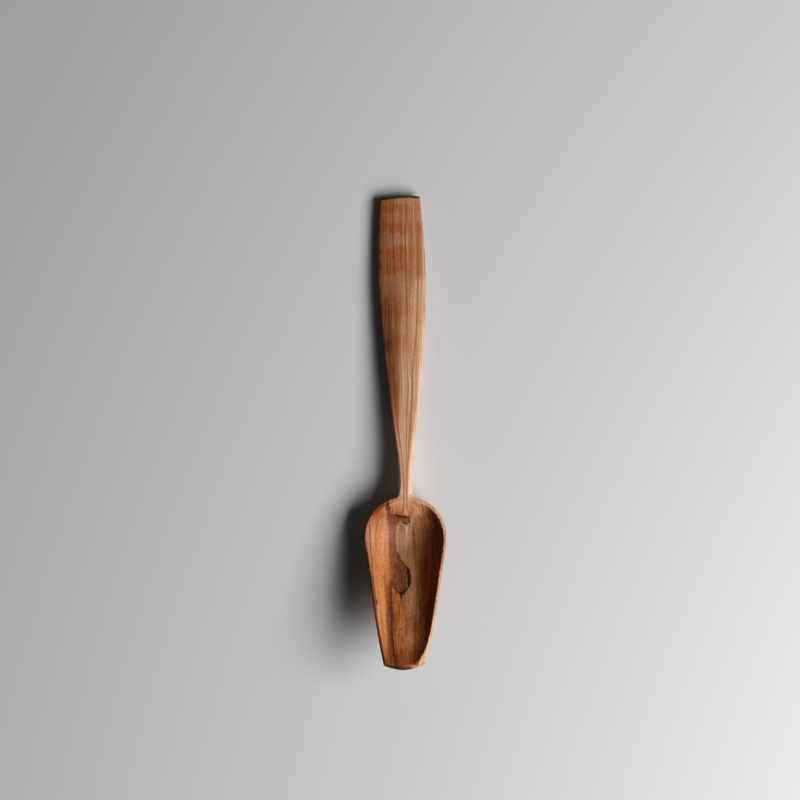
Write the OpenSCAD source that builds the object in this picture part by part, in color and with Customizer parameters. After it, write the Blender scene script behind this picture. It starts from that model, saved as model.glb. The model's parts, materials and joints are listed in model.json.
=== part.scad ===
// Carved wooden spoon with a blunt tip, round shoulders, a slim neck and a broad flat handle.
// It lies as it rests on a table: tip towards -Y, handle towards +Y, hollow facing up.
// The origin is at the middle of its length, and Z is 0 where the spoon touches the table.

/* [Length] */
// Whole length, from the tip of the bowl to the end of the handle
spoon_len = 200; // [180:5:230]

/* [Bowl outline] */
// Width of the blunt tip, corner to corner
tip_w = 17.2; // [12:0.2:20]
// How far the middle of the tip stands out in front of its corners
tip_bow = 2.2; // [1:0.1:3.2]
// How much nearer the tip one corner lies than the other
tip_slant = 0.6; // [0:0.1:1.2]
// How far the tip leans sideways from the bowl's centre line
tip_lean = 0.5; // [0:0.1:1.5]
// Bowl width where the nearly straight sides end
side_w = 31.5; // [28:0.1:33]
// Length of the nearly straight sides, from the tip
side_len = 43.5; // [38:0.5:47]
// Bowl width at its widest
bowl_w = 34.4; // [33.4:0.2:38]
// Distance of the widest place from the tip
bowl_wide_at = 55; // [52:0.5:60]
// Length of the round shoulders behind the widest place
shoulder_len = 17.6; // [14:0.2:20]
// How square the shoulders are, where 2 is an ellipse
shoulder_form = 2.15; // [2:0.05:2.5]

/* [Bowl heights] */
// Height of the rim above the table at the tip
tip_z = 25.5; // [23:0.5:27]
// Height of the rim above the table at the widest place
rim_z = 12.6; // [12.2:0.1:14]
// Thickness of the lip at the tip
lip_t = 2; // [1.9:0.1:3]
// Length of the back's rise from the table up to the tip
rise_len = 51; // [49:0.5:53]
// Distance from the tip to where the back begins to rise to the neck
keel_from = 56; // [54:0.5:58]
// Depth of the hollow under its rim
hollow_deep = 11.3; // [10:0.1:11.5]
// Distance of the deepest place from the tip
deepest_at = 48; // [46:0.5:50]
// Share of its depth that the hollow keeps where it runs out at the tip
tip_depth = 0.4; // [0.3:0.05:0.45]
// Depth to which the back is worn flat where it rests
rest_worn = 0.25; // [0.1:0.05:0.5]

/* [Rim] */
// Width of the rim around the hollow
rim_w = 1.8; // [1.4:0.1:2.4]
// Width of the rim along both sides of the hollow at the tip
tip_rim = 0.9; // [0.7:0.1:1.4]
// Length of the rounded corner at the right of the hollow's end
hollow_round = 14; // [10:0.5:18]
// Length of the tight corner at the left of the hollow's end
hollow_corner = 4; // [3:0.5:8]
// Slope of the rim, down and outwards, in degrees
rim_slope = 14; // [6:1:30]
// Sideways offset of the hollow at the widest place, which leaves one rim wider
hollow_turn = 0.4; // [0:0.1:0.5]
// Height of the upright band below the rim
band_h = 0.8; // [0.5:0.1:1.5]

/* [Neck] */
// Width of the neck at its narrowest
neck_w = 5.1; // [4:0.1:8]
// Depth of the neck, from its top to its keel
neck_t = 10.3; // [8:0.1:10.8]
// Distance from the end of the shoulders to the narrowest place
neck_len = 6.4; // [4:0.2:12]
// How much the neck widens on each side at its foot, where it meets the shoulders
neck_foot = 1; // [0:0.1:2]
// Height of the top of the neck above the table
neck_z = 11.8; // [11:0.1:12.5]
// Width of the bevel along the right edge of the neck
neck_bevel = 1.2; // [0.6:0.1:1.6]
// Share of that width which the bevel along the left edge has
left_bevel = 0.4; // [0.3:0.05:1]
// Length over which the neck's bevels run out into the rim
bevel_run = 2.6; // [2:0.2:6]
// Slope of the bevels along the neck and the handle, in degrees
bevel_slope = 40; // [25:1:50]
// How far the edge between the neck and the hollow is melted away
neck_melt = 0.35; // [0:0.05:0.8]
// How fast the keel under the neck widens into the back of the bowl
keel_spread = 0.5; // [0.3:0.05:0.8]

/* [Handle] */
// Distance from the neck to the middle of the flare
flare_len = 30; // [22:1:40]
// Width of the handle in the middle of the flare
flare_w = 11.2; // [9:0.1:14]
// Width of the handle at its widest
handle_w = 20; // [16:0.2:26]
// Distance of the widest place from the end of the handle
handle_wide_from_end = 33; // [20:1:45]
// Width of the end of the handle
butt_w = 16.7; // [12:0.1:20]
// Thickness of the handle at its end
butt_t = 4.8; // [4:0.1:6]
// How far the middle of the handle's end stands out past its corners
butt_bow = 0.75; // [0.4:0.05:2]
// How much shorter one side of the handle is than the other
butt_slant = 1.1; // [0:0.1:2]
// How far the end of the handle leans sideways
butt_lean = 2.3; // [0:0.1:4]
// Height of the crown across the top of the handle
crown_h = 0.6; // [0:0.1:1.2]
// Width of the bevel along the edges of the handle
edge_bevel = 0.7; // [0.3:0.1:1.5]
// Height of the upright sides of the handle
side_h = 1.9; // [1:0.1:2.4]
// Length of the steep bevel across the end of the handle
end_bevel = 0.7; // [0.4:0.1:1.5]

/* [Hidden] */
wood = [0.62, 0.38, 0.21];

// A length too small to see, a short step along a curve, and the clearance of a cutting form
eps = 0.01;
step = 0.1;
clear = 3;

// How steep the outline is at the tip, at the end of the straight sides and in the flare,
// against a straight line between its places, and its slopes at the handle's end and the neck's foot
tip_steep = 1.45;
side_steep = 0.85;
flare_steep = 1.22;
butt_slope = -0.09;
foot_slope = -0.45;

// Places along the spoon, and slopes of its outline
bowl_len = bowl_wide_at + shoulder_len;
hollow_end = bowl_len - rim_w;
neck_at = bowl_len + neck_len;
rim_bevel = rim_w + hollow_turn + 2 * step;
flare_at = neck_at + flare_len;
handle_wide_at = spoon_len - handle_wide_from_end;
side_taper = (side_w - tip_w) / 2 / (side_len - tip_bow);
flare_slope = flare_steep * (handle_w - neck_w) / 2 / (handle_wide_at - neck_at);

// Roundness of the cross sections, and forms of the curves along the spoon
back_form = 2.2;
back_round = 0.62;
hollow_form = 2.2;
hollow_steep = 0.72;
end_form = 2.5;
crank_form = 1.85;
keel_form = 1.9;
rise_form = 1.14;
lean_form = 1.5;

// How tightly two forms are melted together where they meet
melt = 4;

// Slopes of the top and the underside where their curves meet
tip_slope = -0.18;
rim_slope_along = -0.27;
neck_slope = -crank_form * (neck_z - butt_t) / (spoon_len - neck_at);
neck_under_z = neck_z - neck_t;
keel_slope = -keel_form * (neck_under_z + rest_worn) / (spoon_len - neck_at);

// Largest share of the half width that a bevel takes, and the fall of the end's bevel
most_bevel = 0.8;
end_fall = 1.6;

// Lengths over which the bowed rows straighten, from the tip and from the end
tip_bend = 20;
end_bend = 12;

// Numbers of rows along the spoon and of columns across it, and the stretch of close rows
tip_zone = 15;
row_spread = 1.3;
tip_rows = 12;
side_rows = 12;
shoulder_rows = 18;
neck_rows = 8;
handle_rows = 34;
top_cols = 11;
hollow_rings = 16;
hollow_cols = 72;

function hold(t, lo, hi) = min(hi, max(lo, t));

function ease(t) = let (c = hold(t, 0, 1)) c * c * (3 - 2 * c);

// Sum of two lengths that follows the longer one and rounds the corner between them
function soft_max(a, b, p) = pow(pow(a, p) + pow(b, p), 1 / p);

function soft_min(a, b, p) = 1 / soft_max(1 / a, 1 / b, p);

// Smooth curve between two places, each given as [distance, value, slope]
function span(s, a, b) =
    let (
        len = b[0] - a[0],
        t = hold((s - a[0]) / len, 0, 1),
        u = 1 - t
    )
    a[1] * u * u * (1 + 2 * t) + b[1] * t * t * (3 - 2 * t)
    + len * t * u * (a[2] * u - b[2] * t);

// Smooth curve through a list of places, level beyond both ends
function curve(s, places, i = 0) =
    i >= len(places) - 2 || s <= places[i + 1][0]
        ? span(s, places[i], places[i + 1])
        : curve(s, places, i + 1);

// Outline of the bowl and the handle, as half widths along the spoon
bowl_side = [
    [tip_bow, tip_w / 2, tip_steep * side_taper],
    [side_len, side_w / 2, side_steep * side_taper],
    [bowl_wide_at, bowl_w / 2, 0]
];
handle_side = [
    [bowl_len, neck_w / 2 + neck_foot, foot_slope * neck_foot],
    [neck_at, neck_w / 2, 0],
    [flare_at, flare_w / 2, flare_slope],
    [handle_wide_at, handle_w / 2, 0],
    [spoon_len - butt_bow, butt_w / 2, butt_slope]
];

// Round of the shoulders: the share of the full width left behind the widest place
function shoulder(s, len, form) =
    s <= bowl_wide_at ? 1 : pow(max(0, 1 - pow((s - bowl_wide_at) / len, form)), 1 / form);

function bowl_half(s) = curve(s, bowl_side) * shoulder(s, shoulder_len, shoulder_form);

function handle_half(s) = curve(s, handle_side);

function half_width(s) = soft_max(handle_half(s), bowl_half(s), melt);

function half_slope(s) = (half_width(s + step) - half_width(s - step)) / (2 * step);

// Sideways lean of the centre line
function lean(s) =
    s > neck_at
        ? -butt_lean * pow(1 - to_end(s), lean_form)
        : -tip_lean * pow(hold(1 - s / deepest_at, 0, 1), lean_form);

// Share of the handle that is left: 1 at the neck and 0 at the end
function to_end(s) = (spoon_len - s) / (spoon_len - neck_at);

// Height of the top, which sweeps up from the end of the handle to the tip
top_line = [
    [0, tip_z, tip_slope],
    [bowl_wide_at, rim_z, rim_slope_along],
    [neck_at, neck_z, neck_slope]
];

function top_z(s) =
    s < neck_at
        ? curve(s, top_line) + min(0, s) * tip_slope
        : butt_t + (neck_z - butt_t) * pow(to_end(s), crank_form);

// Height of the underside along the middle: the rise to the tip, the rest, the keel and the handle.
// What lies below the table is worn away flat
function under_z(s) =
    s < rise_len
        ? (tip_z - lip_t + rest_worn) * pow(1 - s / rise_len, rise_form) - rest_worn
        : s < neck_at
            ? curve(s, [[keel_from, -rest_worn, 0], [neck_at, neck_under_z, keel_slope]])
            : (neck_under_z + rest_worn) * pow(to_end(s), keel_form) - rest_worn;

// Place between the middle of the bowl, 0, and its outline, 1
function bowl_reach(x, s) =
    s <= bowl_wide_at
        ? abs(x) / bowl_half(s)
        : soft_max(abs(x) / (bowl_w / 2), (s - bowl_wide_at) / shoulder_len, shoulder_form);

// The same across the keel, which widens from the neck into the back of the bowl
function keel_reach(x, s) = abs(x) / (handle_half(s) + keel_spread * max(0, bowl_len - s));

function rounded(reach, form, power) = pow(max(0, 1 - pow(reach, form)), power);

// Bevel along the edges, crown across the top and depth of the upright sides
function bevel_w(s) =
    curve(s, [[bowl_len, rim_bevel, 0], [bowl_len + bevel_run, neck_bevel, 0], [flare_at, edge_bevel, 0]]);

function bevel_drop(s) =
    bevel_w(s) * tan(curve(s, [[bowl_len, rim_slope, 0], [bowl_len + bevel_run, bevel_slope, 0]]));

function crown(s) = crown_h * ease((s - bowl_len) / flare_len);

function side_depth(s) = bevel_drop(s) + curve(s, [[bowl_len, band_h, 0], [flare_at, side_h, 0]]);

// Share of the half width taken by the bevel at side 1 or -1, more where the outline runs slantwise
function bevel_share(s, side) =
    let (
        slant = sqrt(1 + pow(half_slope(s), 2)),
        left = 1 - (1 - left_bevel) * ease((s - bowl_len) / bevel_run)
    )
    min(most_bevel, bevel_w(s) * slant * (side < 0 ? left : 1) / half_width(s));

// How far a row has come onto the end's bevel: 0 before it and 1 at its edge
function onto_end(s) = hold(1 - (last_row - s) / end_bevel, 0, 1);

// Heights of the top and the back in row s, at share u of the half width and at place y
function top_at(u, s, y) =
    let (
        share = bevel_share(s, u),
        side = (abs(u) - 1 + share) / share,
        front = 1 - (s - tip_bow) / rim_bevel
    )
    top_z(y) - crown(s) * u * u - bevel_drop(s) * hold(max(side, front), 0, 1)
    - end_fall * end_bevel * onto_end(s);

// The dome of the bowl and the keel of the neck are melted into each other
function back_at(u, s, y) =
    let (
        x = u * half_width(s),
        reach = soft_min(max(bowl_reach(x, s), eps), max(keel_reach(x, s), eps), melt),
        body = top_z(y) - under_z(y) - side_depth(s)
    )
    top_z(y) - side_depth(s) - body * rounded(reach, back_form, back_round)
    + end_bevel * onto_end(s);

// Rows along the spoon, closer where the outline turns
last_row = spoon_len - butt_bow;
rows = concat(
    [tip_bow, tip_bow + rim_bevel / 2],
    [for (i = [0 : tip_rows]) tip_bow + rim_bevel + tip_zone * pow(i / tip_rows, row_spread)],
    [for (i = [1 : side_rows])
        let (from = tip_bow + rim_bevel + tip_zone)
        from + (bowl_wide_at - from) * i / side_rows],
    [for (i = [1 : shoulder_rows]) bowl_wide_at + shoulder_len * sin(90 * i / shoulder_rows)],
    [for (i = [1 : neck_rows]) bowl_len + neck_len * i / neck_rows],
    [for (i = [1 : handle_rows]) neck_at + (last_row - end_bevel - neck_at) * i / handle_rows],
    [last_row]
);

// A row bows forwards at the tip and backwards at the end of the handle. The bow is a parabola,
// moved sideways by as much as leaves one corner behind the other by the slant
function along(s, u) =
    let (
        front = pow(hold(1 - (s - tip_bow) / tip_bend, 0, 1), 2),
        end = pow(hold(1 - (last_row - s) / end_bend, 0, 1), 2)
    )
    s - front * tip_bow * (1 - pow(u + tip_slant / tip_bow / 4, 2))
    + end * butt_bow * (1 - pow(u - butt_slant / butt_bow / 4, 2));

// Shares of the half width at which the top and the back have their points
function top_shares(s) =
    concat([-1], [for (i = [-top_cols : top_cols]) (1 - bevel_share(s, i)) * i / top_cols], [1]);

back_shares = [for (i = [1 : 2 * top_cols + 1]) cos(90 * i / (top_cols + 1))];

// Closed ring of points around the wood in one row: across the top and back underneath
function section(s) =
    let (w = half_width(s), side_y = [along(s, -1), along(s, 1)])
    concat(
        [for (u = top_shares(s)) let (y = along(s, u)) [lean(s) + u * w, y, top_at(u, s, y)]],
        [[lean(s) + w, side_y[1], top_z(side_y[1]) - side_depth(s) + end_bevel * onto_end(s)]],
        [for (u = back_shares) let (y = along(s, u)) [lean(s) + u * w, y, back_at(u, s, y)]],
        [[lean(s) - w, side_y[0], top_z(side_y[0]) - side_depth(s) + end_bevel * onto_end(s)]]
    );

// Skin over closed rings of points, with strips from side to side over both ends
module skin(rings) {
    n = len(rings[0]);
    last = (len(rings) - 1) * n;
    walls = [for (i = [0 : n : last - n]) for (j = [0 : n - 1])
        let (a = i + j, b = i + (j + 1) % n)
        each [[a, b + n, b], [a, a + n, b + n]]
    ];
    ends = [for (j = [0 : n / 2 - 2])
        let (k = n - 1 - j)
        each [
            [j, j + 1, k],
            [k, j + 1, k - 1],
            [last + j + 1, last + j, last + k],
            [last + k - 1, last + j + 1, last + k]
        ]
    ];
    polyhedron([for (ring = rings) each ring], concat(walls, ends), convexity = 6);
}

module blank() {
    skin([for (s = rows) section(s)]);
}

// Edge of the hollow: the outline moved in by the rim, with a corner of the given length at the tip
function hollow_half(s, corner) =
    let (
        outer = s > bowl_wide_at ? bowl_w / 2 : curve(s, bowl_side),
        rim = tip_rim + (rim_w - tip_rim) * ease(s / bowl_wide_at),
        tip = rounded(hold((rim_w + corner - s) / corner, 0, 1), end_form, 1 / end_form)
    )
    (outer - rim) * tip * shoulder(s, shoulder_len - rim_w, shoulder_form);

function hollow_lean(s) = hollow_turn * ease(s / bowl_wide_at);

hollow_edge = [for (i = [0 : hollow_cols - 1])
    let (
        angle = 360 * i / hollow_cols,
        s = (rim_w + hollow_end) / 2 - (hollow_end - rim_w) / 2 * cos(angle),
        side = -sign(sin(angle)),
        x = side * hollow_half(s, side > 0 ? hollow_round : hollow_corner)
    )
    [x, s]
];

// How fast the hollow falls from its edge: steeply all round, but gently below the neck
function hollow_power(edge) =
    hollow_steep + neck_melt * (edge[1] > bowl_wide_at ? exp(-pow(edge[0] / neck_w, 2)) : 0);

// The hollow runs out to a share of its depth at the tip
function run_out(s) = tip_depth + (1 - tip_depth) * ease(s / deepest_at);

// Point of the hollow at a share of the way out from its deepest place, z above the top
function hollow_point(edge, share, z) =
    let (s = deepest_at + (edge[1] - deepest_at) * share)
    [lean(s) + hollow_lean(s) + edge[0] * share, s, top_z(s) + (z > 0 ? z : z * run_out(s))];

module hollow() {
    shares = [for (i = [0 : hollow_rings - 1]) pow(cos(90 * i / hollow_rings), 2 / hollow_form)];
    skin(concat(
        [[for (e = hollow_edge) hollow_point(e, 1, clear)]],
        [for (k = shares)
            [for (e = hollow_edge)
                hollow_point(e, k, -hollow_deep * rounded(k, hollow_form, hollow_power(e)))]],
        [[for (e = hollow_edge) hollow_point(e, eps, -hollow_deep)]]
    ));
}

// One piece of wood: the rounded blank, the hollow cut into it and the worn rest under it
module spoon() {
    color(wood)
    translate([0, -spoon_len / 2, 0])
    difference() {
        blank();
        hollow();
        translate([-bowl_w, -clear, -2 * bowl_w])
            cube([2 * bowl_w, spoon_len + 2 * clear, 2 * bowl_w]);
    }
}

spoon();
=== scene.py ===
"""Looks and stage of a carved wooden spoon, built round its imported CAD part."""

import json
import math

import bpy
import numpy as np
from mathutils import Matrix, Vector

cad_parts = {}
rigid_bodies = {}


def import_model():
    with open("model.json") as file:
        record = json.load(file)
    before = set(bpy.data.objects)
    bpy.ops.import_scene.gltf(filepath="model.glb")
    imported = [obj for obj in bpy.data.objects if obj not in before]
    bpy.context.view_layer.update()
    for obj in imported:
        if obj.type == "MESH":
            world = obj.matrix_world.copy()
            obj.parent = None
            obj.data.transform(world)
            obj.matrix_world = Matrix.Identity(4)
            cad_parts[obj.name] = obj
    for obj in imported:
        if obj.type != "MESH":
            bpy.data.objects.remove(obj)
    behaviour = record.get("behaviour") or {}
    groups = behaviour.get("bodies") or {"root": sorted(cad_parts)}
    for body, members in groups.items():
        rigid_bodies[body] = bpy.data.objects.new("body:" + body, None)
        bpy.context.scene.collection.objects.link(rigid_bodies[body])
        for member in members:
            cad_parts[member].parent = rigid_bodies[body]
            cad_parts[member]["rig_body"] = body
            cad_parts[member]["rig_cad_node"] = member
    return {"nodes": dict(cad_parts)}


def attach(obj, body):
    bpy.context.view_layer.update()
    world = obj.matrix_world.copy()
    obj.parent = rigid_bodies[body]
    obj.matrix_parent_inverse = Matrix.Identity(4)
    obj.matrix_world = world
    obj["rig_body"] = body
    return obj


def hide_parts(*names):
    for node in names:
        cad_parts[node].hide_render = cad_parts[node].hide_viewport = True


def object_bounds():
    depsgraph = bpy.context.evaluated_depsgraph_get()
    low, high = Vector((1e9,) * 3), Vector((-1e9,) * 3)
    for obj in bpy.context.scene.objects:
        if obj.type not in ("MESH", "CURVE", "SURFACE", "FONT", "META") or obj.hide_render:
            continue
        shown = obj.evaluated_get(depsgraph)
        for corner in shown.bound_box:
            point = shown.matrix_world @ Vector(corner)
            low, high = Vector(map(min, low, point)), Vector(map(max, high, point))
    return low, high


bl_info = {
    "name": "Carved Spoon",
    "version": (1, 0, 0),
    "blender": (4, 5, 0),
    "location": "3D View > Sidebar > Carved Spoon",
    "description": "Carves and finishes a spalted wooden spoon and lays it on a lit floor",
    "category": "Object",
}

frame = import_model()
CAD_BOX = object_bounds()

MM = 0.001
HALF_LENGTH_MM = (CAD_BOX[1].y - CAD_BOX[0].y) / MM / 2

# Lines and stains in the wood, in mm: (distance from the tip, distance to the right of the middle)
ZONE_LEFT = [
    (31.8, -2.9), (33.8, -4.6), (35.7, -5.3), (38.0, -5.6), (42.7, -5.8), (47.4, -6.3),
    (52.1, -6.5), (56.8, -6.7), (60.1, -6.95), (65.1, -7.2),
]
ZONE_RIGHT = [
    (31.8, -0.9), (33.8, 0.5), (35.7, 1.5), (38.0, 1.8), (40.4, 1.55), (42.7, 0.5), (45.1, -1.35),
    (47.4, -2.75), (49.3, -3.7), (52.1, -4.3), (56.8, -4.86), (60.1, -4.86), (65.1, -4.0),
]
ZONE_POINT = [(29.6, -1.9), (31.4, -2.0), (33.2, -3.6), (35.0, -4.9)]
SHOULDER_LINE = [(64.6, -6.9), (68.0, -7.2), (70.6, -7.8)]
RIM_LINE = [(24.0, -11.9), (28.7, -12.4), (37.6, -13.5), (47.0, -14.3), (56.0, -14.9), (62.5, -15.2)]
LOW_STREAK = [(3.5, -4.0), (8.0, -4.9), (12.0, -5.4), (18.0, -5.8), (26.0, -6.0), (36.0, -6.1)]
LOW_STREAK_LEFT = [(9.0, -6.3), (20.0, -7.0), (36.0, -7.2)]
PALE_LINE = [(67.0, -0.2), (84.0, -0.3), (100.0, -0.7), (112.0, -0.3), (124.0, 0.0)]
PALE_STREAK = [(183.0, -0.7), (190.0, -0.8), (199.0, -1.0)]
PALE_STREAK_RIGHT = [(184.0, 3.6), (190.0, 3.5), (196.0, 3.3)]
NECK_LINE = [
    (68.0, -0.9), (76.0, -0.8), (90.4, -1.7), (109.4, -3.9), (122.0, -4.4), (140.0, -4.1), (156.0, -4.8),
]
MIDDLE_LINE = [(94.0, 0.4), (110.0, 0.7), (130.0, 0.9), (160.0, 0.5), (197.0, 0.0)]
RIGHT_LINE = [(71.0, 0.6), (76.0, 0.6), (84.0, 0.9), (90.4, 1.3), (122.0, 2.9), (156.0, 5.2), (190.0, 5.1)]
EDGE_STREAK = [(139.5, -8.6), (148.0, -8.4), (157.5, -8.2)]

# Painted shade along the bowl's outer edge on its left
LEFT_EDGE_SHADE = [
    (1.5, -9.1), (8.0, -10.4), (15.0, -11.65), (22.0, -12.85), (30.0, -13.95), (38.0, -14.95),
    (46.0, -16.2), (52.0, -17.0),
]

# Lines that run across the spoon, in mm: (distance to the right of the middle, distance from the tip)
# The first of these is painted shade along the edge under the tip
TIP_EDGE_SHADE = [(-9.2, 1.5), (-6.0, 0.6), (-3.0, 0.1), (0.0, 0.0), (3.0, 0.3)]
HOOK_TOP = [
    (-6.9, 64.6), (-5.7, 64.8), (-4.3, 65.1), (-3.2, 64.8), (-1.1, 64.5), (0.6, 64.1), (1.5, 63.6),
    (1.9, 63.0),
]
HOOK_BELOW = [
    (-6.9, 60.6), (-4.9, 60.4), (-4.0, 61.4), (-3.0, 62.4), (-2.1, 62.9), (-1.2, 62.2), (-0.4, 61.7),
    (0.6, 61.5), (1.4, 61.9), (1.9, 63.0),
]
ZONE_FOOT = [(-2.2, 31.8), (-0.4, 32.6), (1.2, 34.7)]

# Lines as they are drawn, each over the ones before it: (ink, course, points, half width in mm, fade at both
# ends in mm, whether the width is uneven, strength)
LINES = [
    ("pale", "with the grain", PALE_LINE, 0.5, 6.0, False, 0.5),
    ("pale", "with the grain", PALE_STREAK, 0.5, 8.0, False, 0.32),
    ("pale", "with the grain", PALE_STREAK_RIGHT, 0.6, 8.0, False, 0.36),
    ("orange", "with the grain", RIGHT_LINE, 0.6, 8.0, False, 0.55),
    ("orange", "with the grain", NECK_LINE, 0.6, 5.0, False, 0.6),
    ("orange", "with the grain", MIDDLE_LINE, 0.45, 14.0, False, 0.5),
    ("red", "with the grain", LOW_STREAK, 1.05, 9.0, True, 0.85),
    ("red", "left of the grain", LOW_STREAK, 2.0, 9.0, False, 0.38),
    ("brown", "lengthwise", ZONE_RIGHT[8:], 0.5, 1.5, True, 0.55),
    ("brown", "crosswise", HOOK_TOP[:4], 0.8, 0.8, True, 0.75),
    ("brown", "crosswise", HOOK_BELOW[1:6], 0.45, 0.8, True, 0.7),
    ("brown", "lengthwise", SHOULDER_LINE, 1.5, 1.5, True, 0.85),
    ("brown", "lengthwise", ZONE_LEFT, 0.8, 1.5, True, 0.5),
    ("brown", "exact", RIM_LINE, 0.42, 8.0, False, 0.7),
    ("brown", "with the grain", LOW_STREAK_LEFT, 0.9, 9.0, True, 0.35),
    ("brown", "lengthwise", EDGE_STREAK, 0.6, 4.0, False, 0.75),
    ("dark", "lengthwise", ZONE_RIGHT[:6], 0.95, 1.5, True, 0.97),
    ("dark", "lengthwise", ZONE_RIGHT[4:9], 0.55, 1.5, True, 0.85),
    ("dark", "lengthwise", ZONE_POINT, 0.8, 1.5, True, 0.85),
    ("dark", "crosswise", ZONE_FOOT, 0.75, 0.8, True, 0.85),
    ("dark", "crosswise", HOOK_TOP[2:], 1.1, 0.8, True, 0.85),
    ("dark", "crosswise", HOOK_BELOW[5:], 0.9, 0.8, True, 0.8),
]

# Share of a line's half width that has its full strength
LINE_CORE = 0.3

# Dark spots, in mm: distance from the tip, distance to the right, length, width
SPOTS = [
    (28.6, -12.1, 1.6, 0.9),
    (17.0, -2.2, 0.5, 0.5),
    (36.0, -5.5, 2.2, 1.2),
    (136.8, -7.6, 4.2, 2.2),
    (170.0, -10.6, 2.4, 1.2),
    (175.8, -10.8, 1.2, 1.2),
    (68.6, -7.6, 3.0, 1.3),
]

# Where a spot comes in, as (not yet, in full), in parts of its size
SPOT_REACH = (1.1, 0.35)

# Tone of the wood along the handle's left, middle and right: (distance from the tip, 0 black to 1 white)
LEFT_TONE = [
    (76.0, 0.76), (92.0, 0.73), (102.0, 0.60), (110.0, 0.42), (122.0, 0.30), (137.0, 0.255), (150.0, 0.255),
    (162.0, 0.32), (178.0, 0.37), (188.0, 0.35), (200.0, 0.41),
]
MIDDLE_TONE = [
    (76.0, 0.625), (100.0, 0.62), (114.0, 0.625), (126.0, 0.585), (138.0, 0.51), (150.0, 0.49),
    (160.0, 0.47), (172.0, 0.44), (180.0, 0.46), (190.0, 0.43), (200.0, 0.45),
]
RIGHT_TONE = [
    (76.0, 0.69), (92.0, 0.66), (100.0, 0.605), (112.0, 0.61), (126.0, 0.66), (142.0, 0.65), (150.0, 0.64),
    (158.0, 0.675), (168.0, 0.57), (180.0, 0.55), (192.0, 0.51), (200.0, 0.55),
]

# Half the handle's width and the course of its middle, by distance from the tip
HANDLE_HALF = [
    (70.0, 2.8), (84.0, 2.7), (100.0, 3.8), (120.0, 5.8), (140.0, 8.4), (165.0, 10.0), (185.0, 9.4),
    (200.0, 8.2),
]
HANDLE_MIDDLE = [(70.0, 0.1), (120.0, -0.6), (165.0, -1.0), (200.0, -2.3)]

# Tone across the bowl near its tip, in its middle and at its widest: (distance to the right, tone)
TIP_TONE = [
    (-13.0, 0.46), (-10.0, 0.43), (-7.5, 0.40), (-5.0, 0.40), (-2.0, 0.475), (0.0, 0.475), (2.5, 0.455),
    (5.0, 0.385), (8.0, 0.33), (10.5, 0.32), (14.0, 0.32),
]
BOWL_TONE = [
    (-15.0, 0.50), (-12.0, 0.47), (-9.5, 0.48), (-7.5, 0.44), (-5.0, 0.43), (-2.0, 0.47), (1.0, 0.565),
    (3.5, 0.64), (5.5, 0.58), (8.0, 0.46), (10.0, 0.405), (12.0, 0.28), (15.0, 0.27),
]
WIDE_TONE = [
    (-16.0, 0.48), (-13.0, 0.54), (-10.0, 0.56), (-8.0, 0.50), (-5.0, 0.44), (-2.0, 0.50), (0.0, 0.54),
    (3.0, 0.52), (7.0, 0.52), (10.0, 0.465), (12.5, 0.33), (17.0, 0.27),
]

# What is added to the bowl's tone: (distance from the tip, tone)
BOWL_ALONG = [
    (0.0, -0.05), (4.0, -0.10), (13.0, 0.0), (50.0, 0.0), (55.0, 0.0), (61.0, -0.055), (64.5, -0.045),
    (69.0, 0.02), (76.0, 0.0),
]

# Tones of the rim: on its left and right from the tip to the neck, and at the tip's two corners; the last
# left tone is painted shade on the upper left rim near the neck
RIM_LEFT_TONES = (0.37, 0.55, 0.69, 0.37)
RIM_RIGHT_TONES = (0.69, 0.58)
RIM_TIP_TONES = (0.25, 0.60)

# Curly figure along the handle: (distance from the tip, -1 pale with painted sheen to 1 deep orange)
CURL = [
    (100.0, -0.1), (112.0, -0.3), (124.0, -0.5), (131.0, -0.3), (137.0, 0.55), (141.5, 0.3), (146.0, -0.4),
    (151.0, 0.3), (155.0, 0.1), (160.0, -0.7), (166.0, -0.1), (169.0, 0.8), (172.0, 0.5), (175.5, 0.9),
    (178.5, 0.0), (181.5, -0.9), (184.0, 0.3), (186.5, 0.9), (189.0, 0.1), (191.5, 0.0), (194.5, 0.8),
    (197.5, 0.2), (200.0, 0.0),
]

# Course of the grain: its middle and how much it is drawn together, by distance from the tip
GRAIN_MIDDLE = [(0.0, -0.5), (60.0, 0.0), (80.0, 0.0), (110.0, -0.1), (150.0, -0.3), (200.0, -0.4)]
GRAIN_CLOSING = [
    (0.0, 1.5), (25.0, 1.15), (48.0, 1.0), (60.0, 1.07), (70.0, 1.3), (79.0, 1.6), (95.0, 1.4),
    (125.0, 1.12), (160.0, 1.0), (200.0, 1.0),
]

# Noise in the wood: (features per mm across, along and in depth), detail, roughness, shift in depth
WAVER = ((0.12, 0.035, 0.1), 2.0)
BROAD = ((0.5, 0.012, 0.12), 2.0)
STREAKS = ((1.35, 0.018, 0.28), 2.0, 0.6)
FIBRES = ((3.4, 0.055, 0.6), 4.0, 0.62)
HAIRS = ((9.0, 0.16, 1.5), 3.0, 0.6)
CLOUDS = ((0.16, 0.06, 0.16), 3.0, 0.55)
SPECKS = ((1.5, 1.1, 1.5), 4.0, 0.7)
PORES = ((5.5, 0.7, 5.5), 1.0)
RAGGED = ((0.9, 0.7, 0.0), 3.0)
BANDS = ((0.25, 0.12, 0.0), 4.0, 0.65, 3.0)
BLOTCHES = ((0.8, 0.45, 0.0), 3.0, 0.6, 5.0)
UNEVEN = ((0.45, 0.45, 0.0), 1.0, 0.5, 7.0)
THREADS = ((0.85, 0.010, 0.3), 3.0, 0.55, 9.0)

# How far noise swings the tone, how much more of it the bowl has, and how much less the bowl's left wall
BROAD_SWING, STREAK_SWING, FIBRE_SWING = 0.30, 0.36, 0.20
HAIR_SWING, CLOUD_SWING, SPECK_SWING = 0.18, 0.12, 0.28
LIVELIER_BOWL, SPECKLIER_BOWL, CALMER_WALL = 1.35, 1.5, 0.65

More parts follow.
